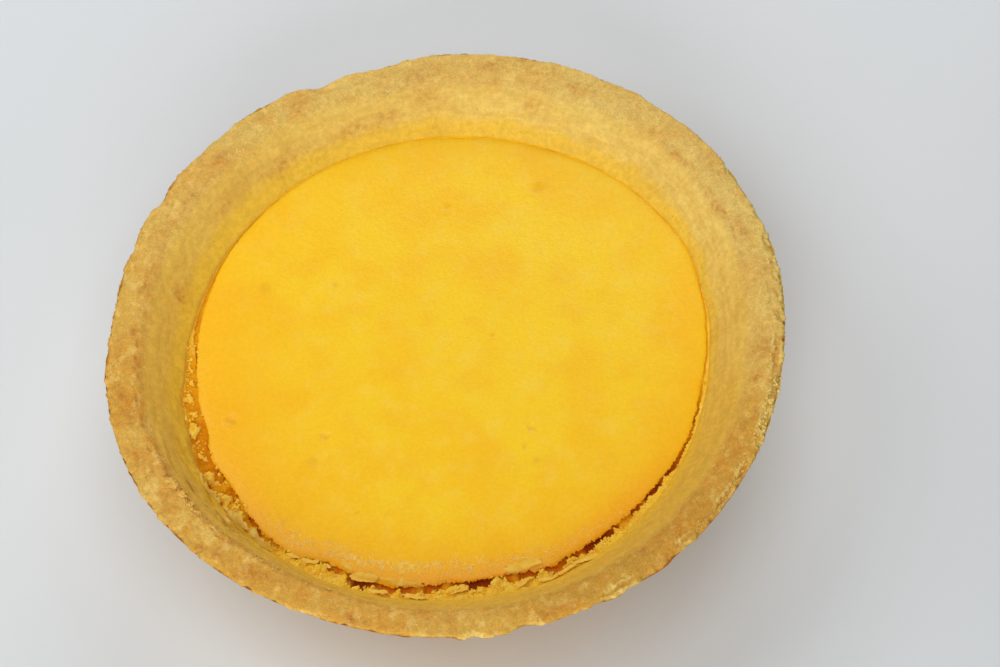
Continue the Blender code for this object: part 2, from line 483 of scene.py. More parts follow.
def crumb_relief(place, azimuth, top, inside):
    """How far grains, creases, blisters and pores stand out of the surface here, or into it."""
    fine = lumps(place, 0.0008, 1) * 0.00005
    fine += (grains(place, 0.0006) - 0.5) * 0.00005 * (0.3 + 0.7 * top)
    fine += lumps(place, 0.0004, 2) * 0.00003 * top
    clumped = top * swelled(azimuth, CLUMPED_SIDES)
    if clumped > 0.05:
        fine += (grains(place, 0.0011) - 0.5) * 0.00011 * clumped
    push = lumps(place, 0.007, 4) * 0.0001
    if inside and place.z > FILLING_LEVEL - 0.003:
        along = Vector((place.x / 0.005, place.y / 0.005, place.z / 0.0007))
        crease = 1 - 2 * abs(noise.noise(along))
        creased = 0.00005 + swelled(azimuth, CREASED_SIDES)
        push += crease * creased + lumps(place, 0.003, 5) * 0.00008 + fine * 0.5
        return push * (1 - top) + top * (fine + lumps(place, 0.0025, 6) * 0.00007)
    if inside:
        return 0.0
    if top > 0:
        pit = eased(lumps(place, 0.0014, 7), 0.25, 0.6)
        return push + (lumps(place, 0.0025, 6) * 0.00007 + fine - pit * 0.00012)
    if place.z > 0.0002:
        blister = eased(lumps(place, 0.0035, 8), 0.2, 0.5)
        pore = eased(lumps(place, 0.0012, 48), 0.22, 0.42)
        return push + (lumps(place, 0.0018, 9) * 0.00008 - blister * 0.00016 - pore * 0.00018)
    return -0.00015 * eased(lumps(place, 0.009, 10), 0.1, 0.5)


def crust_weathering(place, azimuth, radius, inside):
    """How far the baked surface here is pushed out and dropped, and how strong each mark is on it."""
    swell = swelled(azimuth, RIM_SWELLS)
    top = eased(place.z, HEIGHT - 0.0013, HEIGHT - 0.0004)
    outward = radius - swell - RIM_RADIUS + RIM_WIDTH
    edge = top * eased(outward, RIM_WIDTH - 0.0009, RIM_WIDTH - 0.0002)
    push = crumb_relief(place, azimuth, top, inside)
    # Painted shade: darker the deeper the surface dips, in pits, pores and blisters
    hollow_shade = min(1.0, max(0.0, -push / 0.00015)) * (1 - edge)
    if edge > 0:
        teeth = 0.00026 * lumps(place, 0.0012, 11) + 0.00022 * (grains(place, 0.0008) - 0.6)
        teeth += 0.00035 * lumps(place, 0.0030, 44)
        push += crumbliness(azimuth) * edge * (teeth + 0.00020 * lumps(place, 0.00045, 12))
    drop = flake = depth = 0.0
    if not inside and top > 0:
        depth, lip = split(place, azimuth, radius)
        depth *= top
        flake = flaking(place, azimuth, radius) * eased(place.z, HEIGHT - 0.0016, HEIGHT - 0.001)
        drop = depth - 0.00008 * lip * top
        drop += flake * (0.00010 + 0.00018 * (1 - grains(place, 0.0006)))
        flake = max(flake, lip * top * (1 - eased(depth, 0.0001, 0.0002)))
    brown = browning(place, azimuth, radius - swell * 0.5)
    # Painted shade: darker brown down in the rim's splits, the deeper the drop the darker
    brown = max(brown, 0.5 * eased(depth, 0.00008, 0.0003))
    if not inside:
        foot = 1 - eased(place.z + 0.0012 * lumps(place, 0.003, 49), 0.0004, 0.0034)
        brown = max(brown, 0.6 * foot)
    line = 0.0002 + 0.00035 * lumps(place, 0.0025, 19)
    near_line = math.exp(-(((outward - line) / 0.00022) ** 2))
    if near_line > 0.01 and place.z > HEIGHT - RIM_DEPTH:
        crack = eased(lumps(place, 0.0016, 20) + 0.25, 0.1, 0.5)
        crack *= eased_round(azimuth, INNER_CRACKS)
        drop += 0.00018 * crack * near_line
        # Painted shade: brown along the cracks of the rim's inner edge
        brown = max(brown, 0.9 * crack * near_line)
    ragged = 0.0005 * lumps(place, 0.003, 13) + 0.0003 * lumps(place, 0.001, 14)
    stain_top = FILLING_LEVEL + 0.0026 + ragged - swelled(azimuth, LOW_STAIN_SIDES)
    sheltered = 1 - top if inside else 0
    return push, drop, {
        "browned_and_shaded": brown * (1 - flake),
        "stained": 1 - eased(place.z, stain_top - 0.0016, stain_top) if inside else 0,
        "hollow_shade": hollow_shade,
        "baked": oven_tone_and_shade(azimuth),
        "sheltered": sheltered,
        "flaked": flake,
        "golden": sheltered * eased_round(azimuth, GOLDEN_SIDES),
        "tin_side": 0 if inside else 1 - top,
    }


def make_crust():
    """The whole shell, with the relief of its sandy crumb, and marks for its colours."""
    mesh = turned(crust_profile(), crust_halvings)
    insides = []
    for vertex in mesh.verts:
        radius, azimuth = polar(vertex.co)
        insides.append(is_inside(radius, vertex.co.z))
        vertex.co = pressed(radius, azimuth, vertex.co.z, insides[-1])
    mesh.normal_update()
    moves = []
    rows = []
    for vertex, inside in zip(mesh.verts, insides):
        radius, azimuth = polar(vertex.co)
        push, drop, row = crust_weathering(vertex.co, azimuth, radius, inside)
        moves.append(vertex.normal * push - Vector((0, 0, drop)))
        rows.append(row)
    for vertex, move in zip(mesh.verts, moves):
        vertex.co += move
    return piece_from(mesh, "pastry_shell", rows)


def tone(display):
    """A colour given by its three 0 to 255 display values, as the linear colour a shader takes."""
    return (*(((part / 255 + 0.055) / 1.055) ** 2.4 for part in display), 1.0)


class Finish:
    """A material's nodes, added one by one. Its colour is laid on in layers."""

    def __init__(self, name, roughness, specular):
        self.material = bpy.data.materials.new(name)
        self.material.use_nodes = True
        self.tree = self.material.node_tree
        self.shader = self.tree.nodes["Principled BSDF"]
        self.put("Roughness", roughness)
        self.put("Specular IOR Level", specular)
        self.place = self.add("ShaderNodeTexCoord").outputs["Object"]
        self.colour = None

    def put(self, key, value, node=None):
        """Links a socket to an input of a node, or of the shader, or sets it to a plain value."""
        entry = (node or self.shader).inputs[key]
        if isinstance(value, bpy.types.NodeSocket):
            self.tree.links.new(value, entry)
        else:
            entry.default_value = value

    def add(self, kind, inputs=None, **settings):
        made = self.tree.nodes.new(kind)
        for key, value in settings.items():
            setattr(made, key, value)
        for key, value in (inputs or {}).items():
            self.put(key, value, made)
        return made

    def grain(self, size, detail, stretch=None):
        """Noise from 0 to 1 with lumps of about the given size in metres."""
        place = self.place
        if stretch:
            place = self.add("ShaderNodeMapping", {"Vector": place, "Scale": stretch}).outputs[0]
        inputs = {"Vector": place, "Scale": 1 / size, "Detail": detail, "Roughness": 0.55}
        return self.add("ShaderNodeTexNoise", inputs).outputs["Fac"]

    def ranged(self, value, low, high, to_low=0.0, to_high=1.0):
        """A value eased from to_low, where it is low, up or down to to_high, where it is high."""
        inputs = {"Value": value, 1: low, 2: high, 3: to_low, 4: to_high}
        return self.add("ShaderNodeMapRange", inputs, interpolation_type="SMOOTHSTEP").outputs[0]

    def clouds(self, size, detail, low, high, to_low=0.0, to_high=1.0, stretch=None):
        return self.ranged(self.grain(size, detail, stretch), low, high, to_low, to_high)

    def times(self, first, second):
        return self.add("ShaderNodeMath", {0: first, 1: second}, operation="MULTIPLY").outputs[0]

    def mark(self, name, strength=1.0):
        """One of the mesh's marks, times a strength."""
        value = self.add("ShaderNodeAttribute", attribute_name=name).outputs["Fac"]
        return value if strength == 1.0 else self.times(value, strength)

    def mixed(self, share, below, above, how="MIX"):
        """A share of one colour over another, each a socket or three 0 to 255 display values."""
        below, above = (tone(one) if isinstance(one, tuple) else one for one in (below, above))
        inputs = {0: share, 6: below, 7: above}
        return self.add("ShaderNodeMix", inputs, data_type="RGBA", blend_type=how).outputs[2]

    def layer(self, share, above, how="MIX"):
        self.colour = self.mixed(share, self.colour, above, how)

    def waxy(self, weight, depth):
        """Lets some of the light in, red the furthest, to about this depth in metres."""
        self.put("Subsurface Weight", weight)
        self.put("Subsurface Radius", (1.0, 0.65, 0.15))
        self.put("Subsurface Scale", depth)

    def finished(self, *bumps):
        """The material, with bumps from (socket, height in metres) pairs, the finest last."""
        self.put("Base Color", self.colour)
        normal = None
        for socket, height in bumps:
            inputs = {"Height": socket, "Distance": height, "Strength": 1.0}
            if normal:
                inputs["Normal"] = normal
            normal = self.add("ShaderNodeBump", inputs).outputs[0]
        if normal:
            self.put("Normal", normal)
        return self.material


def pastry_finish():
    """Dry baked shortcrust: golden tan, paler and browner in patches, with a fine sandy grain."""
    finish = Finish("baked_shortcrust", 0.85, 0.15)
    pale = (226, 193, 107)
    gold = (215, 165, 66)
    orange = (212, 145, 50)
    cream = (238, 200, 110)
    baked = finish.mark("baked")
    sheltered = finish.mark("sheltered")
    finish.colour = finish.mixed(baked, pale, gold)
    # Painted shade: past 0.75 the baked mark darkens the pastry and thins its cream patches, most on
    # the near right
    finish.layer(finish.ranged(baked, 0.75, 1.5, 0, 0.9), (193, 145, 56))
    finish.layer(finish.clouds(0.008, 2, 0.4, 0.7, 0, 0.4), orange)
    patches = finish.clouds(0.0019, 3, 0.46, 0.70, 0, 0.6)
    finish.layer(finish.times(patches, finish.ranged(baked, 0.1, 0.8, 0.55, 1.0)), orange)
    light = finish.clouds(0.0015, 3, 0.51, 0.67, 0, 0.52, (1.1, 0.9, 1.0))
    finish.layer(finish.times(light, finish.ranged(baked, 0.95, 1.5, 1.0, 0.35)), cream)
    finish.layer(finish.times(sheltered, 0.6), (237, 205, 105))
    finish.layer(finish.mark("golden", 0.6), (224, 170, 38))
    streaks = finish.clouds(0.0007, 3, 0.40, 0.66, stretch=(0.2, 0.2, 1.2))
    finish.layer(finish.times(finish.times(streaks, sheltered), 0.35), (206, 158, 62))
    finish.layer(finish.mark("stained", 0.75), (234, 187, 48))
    finish.layer(finish.mark("tin_side", 0.55), (213, 160, 66))
    # Brown patches and base from the oven, with painted shade in the rim's splits and inner-edge
    # cracks
    blotch = finish.clouds(0.0007, 3, 0.35, 0.65, 0.3, 1.0)
    finish.layer(finish.times(finish.mark("browned_and_shaded"), blotch), (188, 116, 44))
    crumb = finish.clouds(0.0005, 3, 0.38, 0.62)
    finish.layer(finish.mark("flaked", 0.85), finish.mixed(crumb, (222, 184, 90), (240, 213, 124)))
    sand = finish.clouds(0.00022, 3, 0.34, 0.66, 0.90, 1.10)
    finish.layer(finish.ranged(sheltered, 0.0, 1.0, 1.0, 0.4), sand, "MULTIPLY")
    finish.layer(1.0, finish.clouds(0.0008, 2, 0.36, 0.64, 0.94, 1.05), "MULTIPLY")
    # Painted shade: darker brown in the surface's dips
    finish.layer(finish.mark("hollow_shade", 0.3), (184, 122, 52))
    finish.layer(finish.clouds(0.0006, 1, 0.72, 0.80, 0, 0.35), (170, 104, 44))
    smoother = finish.ranged(sheltered, 0.0, 1.0, 1.0, 0.45)
    coarse = finish.times(finish.grain(0.0007, 3), smoother)
    fine = finish.times(finish.grain(0.00025, 3), smoother)
    return finish.finished((coarse, 0.00010), (fine, 0.00008))


pastry_shell = make_crust()
pastry = pastry_finish()
pastry_shell.data.materials.append(pastry)
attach(pastry_shell, "root")
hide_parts("crust")


# ------------------------------------------------------------
# The cheese filling: a set baked custard of cream cheese, poured into the shell. Its skin is
# smooth and bright yellow, more orange round the shoulder, and it has shrunk and torn from the
# pastry, so a jagged crack runs round it.
# ------------------------------------------------------------

# Round the filling: azimuth, and the radius at which its skin ends
SKIN_ENDS = (
    (4, 0.03285), (19, 0.0336), (40, 0.0334), (60, 0.033), (83, 0.0328), (110, 0.0327),
    (140, 0.0324), (160, 0.032), (179, 0.0317), (186, 0.03175), (192, 0.0316), (199, 0.0325),
    (207, 0.0322), (212, 0.0326), (217, 0.0331), (222, 0.0336), (228, 0.0336), (238, 0.0323),
    (243, 0.03285), (246, 0.033), (249, 0.03285), (252, 0.0332), (256, 0.03275), (260, 0.03245),
    (263.6, 0.032), (267, 0.0322), (270.3, 0.03215), (273, 0.0321), (276, 0.0321),
    (279.6, 0.03235), (282.3, 0.03265), (286.6, 0.0329), (289, 0.0326), (292, 0.0324),
    (295.6, 0.0323), (312, 0.0322), (328, 0.0324), (342, 0.0321), (356, 0.0325),
)
# Round the crack: azimuth, and its width
CRACK_WIDTHS = (
    (4, 0.00008), (20, 0.00003), (40, 0), (125, 0), (145, 0.0002), (158, 0.0004), (170, 0.0006),
    (177, 0.001), (184, 0.0019), (192, 0.0024), (199, 0.002), (206, 0.0025), (212, 0.0021),
    (216, 0.0013), (219.5, 0.0006), (222, 0.0007), (225, 0.0002), (230, 0.0001), (234, 0.0002),
    (237, 0.0005), (239.5, 0.0004), (241.5, 0.0003), (243.3, 0.0017), (245.5, 0.0014),
    (248.3, 0.0003), (250, 0.0013), (251.8, 0.0015), (253.3, 0.0003), (254.8, 0.0011),
    (256.5, 0.0015), (259.5, 0.001), (262, 0.0006), (264, 0.0006), (265.8, 0.00015),
    (267.2, 0.0006), (269, 0.0011), (272, 0.0009), (273.8, 0.0002), (275.2, 0.0003),
    (277, 0.0011), (281, 0.001), (282.8, 0.0003), (284.2, 0.0002), (285.2, 0.0014),
    (287.6, 0.0014), (289.8, 0.0005), (291.5, 0.0006), (294.5, 0.001), (297.2, 0.0004),
    (300.4, 0.0006), (302.5, 0.0003), (305, 0.0006), (307.5, 0.0002), (310, 0.0006),
    (312.6, 0.0003), (315, 0.0005), (318, 0.0002), (321, 0.0004), (325, 0.0002), (332, 0.00015),
    (345, 0.0001),
)
# Round the crack: azimuth, and its depth
CRACK_DEPTHS = (
    (0, 0.0004), (25, 0.0002), (45, 0.0001), (120, 0.0001), (145, 0.0004), (165, 0.0007),
    (182, 0.0009), (200, 0.0012), (216, 0.0013), (226, 0.0009), (238, 0.001), (244, 0.0017),
    (249, 0.0014), (258, 0.0013), (264, 0.0015), (270, 0.0018), (275, 0.0014), (288, 0.0013),
    (296, 0.0017), (306, 0.0014), (318, 0.0016), (330, 0.0011), (345, 0.0005),
)
# The depth in the crack at which its painted shade is darkest
DARKEST_DEPTH = 0.0016
EDGE_RADIUS = 0.0326
CRACK_DEPTH = 0.0021
LEDGE_HEIGHT = FILLING_LEVEL - CRACK_DEPTH
CROWN = 0.0003
PIECE_GAP = 0.0003
SHOULDER = 0.0044
# Steps of the profile along the ledge, up the torn side, over the shoulder and across the top
LEDGE_STEPS, SIDE_STEPS, SHOULDER_STEPS, TOP_STEPS = 8, 8, 22, 76
WALL_GAP = 0.0001
LEDGE_EDGE = inner_wall_radius(LEDGE_HEIGHT) - WALL_GAP
SKIN_INNER = EDGE_RADIUS - SHOULDER  # the skin is level inside this radius
TORN_FROM, TORN_TO = 190, 330  # the azimuths between which its edge is divided most finely
FINE_WIDTH = 0.0018  # how far in from the edge the top is divided finely
JAG_REACH = 0.0009  # how far in the jags pull the skin

# Burst bubbles in the skin: azimuth, radius, half width, depth
PITS = (
    (138.3, 0.0177, 0.00045, 0.00026), (211.4, 0.0193, 0.0005, 0.00028),
    (83.8, 0.0216, 0.00045, 0.00022), (57.8, 0.0265, 0.0006, 0.00024),
    (305.3, 0.0157, 0.0005, 0.00022), (297.2, 0.0196, 0.00035, 0.00018),
    (297.2, 0.0172, 0.00035, 0.00018), (192.3, 0.0284, 0.0006, 0.00028),
    (11.7, 0.0058, 0.00028, 0.00018), (245.9, 0.024, 0.00022, 0.00014),
    (237.6, 0.0253, 0.00022, 0.00014),
)
PIT_REACH = 2.6  # half widths
# Faint grey-olive smudges under the skin: azimuth, radius, half width
SMUDGES = ((216.3, 0.0228, 0.0009), (150.2, 0.0255, 0.0010), (57.2, 0.0271, 0.0012))

# How orange the filling turns towards its edge, round it: azimuth, strength
EDGE_TONES = (
    (0, 0.4), (30, 0.15), (90, 0.1), (140, 0.4), (165, 0.8), (190, 1), (300, 1), (330, 0.7),
)
# Where a deep orange band follows the torn edge, in the same form as the rim's swells
BANDED_SIDES = ((262, 34, 0.9), (215, 14, 0.2), (308, 18, 0.7))
# How far in from the edge the orange reaches, and how much further at the left
ORANGE_REACH = 0.010
FURTHER_SIDES = ((180, 45, 0.009),)

# How torn its edge is, and how far its shoulder drops, round it
TEARS = (
    (20, 0.12), (150, 0.2), (185, 0.6), (230, 1.0), (290, 1.0), (330, 0.7), (350, 0.3),
)
SHOULDER_DROPS = (
    (20, 0.0002), (150, 0.0002), (185, 0.0004), (215, 0.0006), (245, 0.0007), (290, 0.0007),
    (330, 0.0004),
)


def remembered(function):
    """The same function of an azimuth, which keeps what it has worked out."""
    known = {}

    def asked(azimuth):
        key = round(azimuth, 3)
        if key not in known:
            known[key] = function(azimuth)
        return known[key]

    return asked


def tearing(azimuth):
    """How torn the edge of the filling is: most on its near and left sides."""
    return eased_round(azimuth, TEARS)


def jags(azimuth, seed):
    """The ragged line of a tear: broad bites with sharp little teeth on them."""
    place = from_polar(EDGE_RADIUS, azimuth, 0)
    bites = lumps(place, 0.0014, seed)
    teeth = 1 - 3 * abs(lumps(place, 0.0006, seed + 1))
    nibbles = lumps(place, 0.00025, seed + 2)
    return 0.00020 * bites + 0.00012 * teeth + 0.00022 * nibbles


@remembered
def skin_end(azimuth):
    """The radius where the skin of the filling ends, apart from the jags of its tear."""
    return eased_round(azimuth, SKIN_ENDS)


@remembered
def skin_jag(azimuth):
    return jags(azimuth, 21) * tearing(azimuth)


@remembered
def crack_width(azimuth):
    wide = eased_round(azimuth, CRACK_WIDTHS)
    place = from_polar(EDGE_RADIUS, azimuth, 0)
    swing = 1 + (0.35 * lumps(place, 0.0022, 37) + 0.3 * lumps(place, 0.0009, 38)) * tearing(azimuth)
    return max(0.00002, wide * swing + jags(azimuth, 31) * tearing(azimuth))


@remembered
def crack_foot(azimuth):
    place = from_polar(EDGE_RADIUS, azimuth, 0)
    swing = 1 - 0.55 * eased(lumps(place, 0.0016, 39), 0.0, 0.5) * tearing(azimuth)
    return FILLING_LEVEL - eased_round(azimuth, CRACK_DEPTHS) * swing


@remembered
def moat(azimuth):
    """1 on the left, where the crack is a wide moat with a rough floor, and 0 where it is narrow."""
    return eased(azimuth, 163, 180) * (1 - eased(azimuth, 213, 223))


@remembered
def shoulder_drop(azimuth):
    return eased_round(azimuth, SHOULDER_DROPS)


@remembered
def undercut(azimuth):
    """How far the torn side of the filling stands back under the edge of its skin."""
    return 0.00006 + 0.00020 * tearing(azimuth)


def skin_height(azimuth, radius):
    """The height of the filling's skin, level past its middle and rounded down at its shoulder."""
    from_edge = max(0.0, skin_end(azimuth) - radius)
    bend = max(0.0, 1 - from_edge / SHOULDER)
    rounded_off = 1 - math.sqrt(max(0.0, 1 - bend**2.6))
    flat = from_polar(radius, azimuth, 0)
    waves = 0.00010 * lumps(flat, 0.011, 25) + 0.00004 * lumps(flat, 0.004, 26)
    crown = CROWN * (1 - (radius / EDGE_RADIUS) ** 2)
    return FILLING_LEVEL + crown + waves - shoulder_drop(azimuth) * rounded_off


@remembered
def crack_outside(azimuth):
    """The radius of the crack's outer side."""
    return skin_end(azimuth) + skin_jag(azimuth) + crack_width(azimuth)


def filling_halvings(radius, height, azimuth):
    if height < LEDGE_HEIGHT - SLACK or radius < SKIN_INNER - SLACK:
        return 0
    if radius > EDGE_RADIUS + SLACK:
        return 2
    if radius > EDGE_RADIUS - FINE_WIDTH:
        return 3 if TORN_FROM < azimuth < TORN_TO else 2
    return 1


def blemished(flat):
    """How deep the skin is dented here by burst bubbles, and how smudged it is."""
    dent = 0.0
    smudge = 0.0
    for azimuth, radius, width, depth in PITS:
        away = (flat - from_polar(radius, azimuth, 0)).length / width
        if away < PIT_REACH:
            lip = 0.3 * math.exp(-(((away - 1.6) / 0.5) ** 2))
            dent += depth * (math.exp(-(away**2)) - lip)
            smudge = max(smudge, 0.35 * math.exp(-(away**2)))
    for azimuth, radius, width in SMUDGES:
        away = (flat - from_polar(radius, azimuth, 0)).length / width
        smudge = max(smudge, 0.28 * (1 - eased(away, 0.3, 1.2)))
    return dent, smudge


def skin_place(radius, azimuth, height):
    """Where a point of the plain top or side goes: radius, height, and the marks below and smudged."""
    end = skin_end(azimuth)
    floor = crack_foot(azimuth)
    side = (FILLING_LEVEL - height) / CRACK_DEPTH
    radius *= 1 + (end / EDGE_RADIUS - 1) * (radius / EDGE_RADIUS) ** 8
    from_edge = max(0.0, end - radius)
    radius += skin_jag(azimuth) * (1 - eased(from_edge, 0, JAG_REACH))
    flat = from_polar(radius, azimuth, 0)
    surface = skin_height(azimuth, radius)
    grain = 0.00003 * lumps(flat, 0.0006, 29) * eased(radius, 0.026, 0.031)
    surface += grain * tearing(azimuth)
    if side < 0.01:
        dent, smudge = blemished(flat)
        return radius, surface - dent, 0.0, smudge
    height = surface + (floor - surface) * side
    radius -= undercut(azimuth) * eased(side, 0.04, 0.35)
    rough = from_polar(radius, azimuth, height)
    radius += 0.00012 * lumps(rough, 0.0009, 23) + 0.00009 * lumps(rough, 0.0003, 24)
    return radius, height, side * (FILLING_LEVEL - floor) / DARKEST_DEPTH, 0.0


def ledge_place(radius, azimuth, height):
    """Where a point of the ledge at the crack's foot goes: radius, height."""
    share = (radius - EDGE_RADIUS) / (LEDGE_EDGE - EDGE_RADIUS)
    way = share * LEDGE_STEPS / (LEDGE_STEPS - 1)
    if way > 1.01:
        return LEDGE_EDGE, height
    shelf = max(LEDGE_EDGE, crack_outside(azimuth) + 0.0004)
    side_foot = skin_end(azimuth) + skin_jag(azimuth) - undercut(azimuth)
    radius = side_foot + way * (shelf - side_foot)
    rough = from_polar(radius, azimuth, height)
    rubble = 0.0001 * lumps(rough, 0.0012, 27)
    return radius, crack_foot(azimuth) + rubble + 0.00015 * lumps(rough, 0.0004, 28)


def make_filling():
    """The block of filling, with its rounded shoulder, torn side and the ledge at the crack's foot."""
    bottom = FLOOR_THICKNESS + PIECE_GAP
    foot = bottom + FLOOR_ROUND
    profile = traced(
        (0, bottom),
        (1, (FLOOR_RADIUS - FLOOR_ROUND, bottom)),
        (1, (inner_wall_radius(foot) - 2 * PIECE_GAP, foot)),
        (1, (LEDGE_EDGE, LEDGE_HEIGHT)),
        (LEDGE_STEPS, (EDGE_RADIUS, LEDGE_HEIGHT)),
        (SIDE_STEPS, (EDGE_RADIUS, FILLING_LEVEL)),
        (SHOULDER_STEPS, (SKIN_INNER, FILLING_LEVEL)),
        (TOP_STEPS, (0, FILLING_LEVEL)),
    )
    mesh = turned(profile, filling_halvings)
    rows = []
    for vertex in mesh.verts:
        radius, azimuth = polar(vertex.co)
        height = vertex.co.z
        edge = skin_end(azimuth) + skin_jag(azimuth)
        toward = below = 1.0
        smudge = 0.0
        if height > LEDGE_HEIGHT - SLACK and radius < EDGE_RADIUS + SLACK:
            radius, height, below, smudge = skin_place(radius, azimuth, height)
            reach = ORANGE_REACH + swelled(azimuth, FURTHER_SIDES)
            toward = eased(radius, edge - reach, edge) * eased_round(azimuth, EDGE_TONES)
        elif height > LEDGE_HEIGHT - SLACK:
            radius, height = ledge_place(radius, azimuth, height)
            below = (FILLING_LEVEL - crack_foot(azimuth)) / DARKEST_DEPTH
        vertex.co = from_polar(radius, azimuth, height)
        banded = eased(radius, edge - 0.0032, edge - 0.0008) * swelled(azimuth, BANDED_SIDES)
        rows.append({"toward_edge": toward, "below": below, "smudged": smudge, "banded": banded})
    return piece_from(mesh, "cheese_filling", rows)


def cheese_finish():
    """Smooth set cheese: bright yellow, softly mottled, deeper orange to its torn edge, painted shade
    in the crack.
    """
    finish = Finish("set_cheese", 0.40, 0.30)
    depth = finish.mark("below")
    finish.colour = finish.mixed(finish.clouds(0.009, 3, 0.36, 0.64), (252, 205, 27), (252, 196, 17))
    finish.layer(finish.clouds(0.0026, 3, 0.45, 0.75, 0, 0.30), (253, 214, 84))
    finish.layer(finish.clouds(0.0045, 2, 0.52, 0.75, 0, 0.25), (248, 186, 22))
    finish.layer(finish.mark("toward_edge", 0.8), (252, 182, 10))
    finish.layer(finish.mark("banded", 0.65), (255, 171, 18))
    finish.layer(finish.mark("smudged"), (220, 156, 14))
    # Down the torn side: the deeper orange of the cheese inside, and painted shade darkening it with
    # depth
    finish.layer(finish.ranged(depth, 0.0, 0.35), (230, 160, 6))
    finish.layer(finish.ranged(depth, 0.35, 0.8), (222, 122, 2))
    finish.layer(finish.ranged(depth, 0.85, 1.05), (170, 68, 0))
    finish.layer(1.0, finish.clouds(0.00045, 2, 0.35, 0.65, 0.975, 1.02), "MULTIPLY")
    finish.put("Roughness", finish.ranged(depth, 0.0, 0.2, 0.40, 1.0))
    finish.waxy(0.2, 0.0012)
    return finish.finished((finish.grain(0.0012, 3), 0.00006), (finish.grain(0.00028, 2), 0.00004))


cheese_filling = make_filling()
cheese_filling.data.materials.append(cheese_finish())
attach(cheese_filling, "root")
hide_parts("filling")


# ------------------------------------------------------------
# Beads: the tiny glistening drops of fat that the near shoulder of the cheese has sweated, in
# a band just inside its orange edge. Their pale colour is a painted glint.
# ------------------------------------------------------------

BEADED_SIDES = ((240, 13, 1.0), (262, 15, 1.0), (284, 12, 0.3), (302, 10, 0.15), (226, 7, 0.3))
BEAD_SEED = 5
BEAD_TRIES = 8500
BEADED_SPAN = (215, 320)
BAND_SPREAD = 0.0006
BEAD_SIZES = (0.00006, 0.00011)
BEAD_SUNK = 0.18  # of its size
# The middle of the band: azimuth, radius
BEADED_BAND = (
    (228, 0.0318), (240, 0.0309), (250, 0.0306), (270, 0.0304), (282, 0.0308), (296, 0.0316),
    (312, 0.0314),
)


def mottled(name, roughness, specular, clouds, tones, bumps=()):
    """A finish of two tones in clouds, given by size and detail, and bumps with a height as well."""
    finish = Finish(name, roughness, specular)
    finish.colour = finish.mixed(finish.clouds(*clouds, 0.35, 0.65), *tones)
    return finish.finished(*((finish.grain(size, detail), height) for size, detail, height in bumps))


def any_turn(draw):
    return Matrix.Rotation(draw.uniform(0, 6.28), 3, "Z")


def make_beads():
    """Low domes sunk into the skin, thickest in the middle of the band and in groups."""
    draw = random.Random(BEAD_SEED)
    mesh = bmesh.new()
    for _ in range(BEAD_TRIES):
        azimuth = draw.uniform(*BEADED_SPAN)
        radius = eased_round(azimuth, BEADED_BAND) + draw.gauss(0, BAND_SPREAD)
        size = draw.uniform(*BEAD_SIZES)
        keep = draw.random()
        flat = from_polar(radius, azimuth, 0)
        grouped = 0.40 + 0.60 * eased(lumps(flat, 0.0012, 45), -0.3, 0.3)
        if radius > skin_end(azimuth) - 0.0006 or keep > swelled(azimuth, BEADED_SIDES) * grouped:
            continue
        middle = from_polar(radius, azimuth, skin_height(azimuth, radius) - BEAD_SUNK * size)
        spread = Matrix.Diagonal((draw.uniform(0.8, 1.5), draw.uniform(0.8, 1.3), 0.30))
        turn = any_turn(draw)
        for vertex in bmesh.ops.create_icosphere(mesh, subdivisions=1, radius=size)["verts"]:
            vertex.co = middle + turn @ (spread @ vertex.co)
    return piece_from(mesh, "fat_beads", break_angle=180)


# Clear fat over yellow cheese, smooth and shiny; paler than the skin under it as a painted glint
bead_glint_finish = mottled(
    "bead_painted_glint",
    roughness=0.25,
    specular=0.9,
    clouds=(0.0006, 2),
    tones=((255, 214, 106), (255, 194, 54)),
)

fat_beads = make_beads()
fat_beads.data.materials.append(bead_glint_finish)
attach(fat_beads, "root")


# ------------------------------------------------------------
# The torn collar: the thin rim of cheese that stayed stuck to the pastry when the filling shrank.
# It slopes up the wall outside the crack, smooth on the far side and crumbly on the near side.
# ------------------------------------------------------------

COLLAR_INNER = 0.0325
COLLAR_OUTER = 0.0365
COLLAR_FOOT = LEDGE_HEIGHT - 0.0004
COLLAR_STEPS = 32
FACE_SHARE = 0.25  # of the ring's rows, those on the face of the crack
# Round the collar: azimuth, and how far its torn lip, or its top, stands above the filling's level
COLLAR_LIPS = (
    (20, -0.0003), (150, -0.0003), (222, -0.0005), (240, -0.0004), (300, -0.0004), (335, -0.0004),
    (355, -0.0003),
)
COLLAR_TOPS = (
    (20, -0.0001), (150, -0.0002), (175, -0.0001), (205, 0), (222, 0.0001), (245, 0.0001),
    (300, 0.0001), (325, -0.0001), (345, -0.0002),
)


def collar_halvings(radius, height, azimuth):
    if height < COLLAR_FOOT + SLACK:
        return 0
    return 3 if TORN_FROM < azimuth < TORN_TO else 1


@remembered
def collar_ends(azimuth):
    """Its radius at the crack and at the wall, then its height at the torn lip and at the wall."""
    torn = tearing(azimuth)
    on_circle = from_polar(COLLAR_OUTER, azimuth, 0)
    reach = FILLING_LEVEL + eased_round(azimuth, COLLAR_TOPS)
    ragged = 0.00045 * lumps(on_circle, 0.0024, 33) + 0.0002 * lumps(on_circle, 0.0009, 36)
    reach += ragged * (torn + 0.5 * moat(azimuth))
    end = wall_radius(azimuth, reach) + 0.00025
    start = min(crack_outside(azimuth), end - 0.0005)
    start += (skin_end(azimuth) + skin_jag(azimuth) - 0.0003 - start) * moat(azimuth)
    lip = FILLING_LEVEL + eased_round(azimuth, COLLAR_LIPS)
    lip += 0.0004 * torn * lumps(on_circle, 0.0017, 34)
    lip += (crack_foot(azimuth) + 0.00015 - lip) * moat(azimuth)
    return start, end, lip, reach


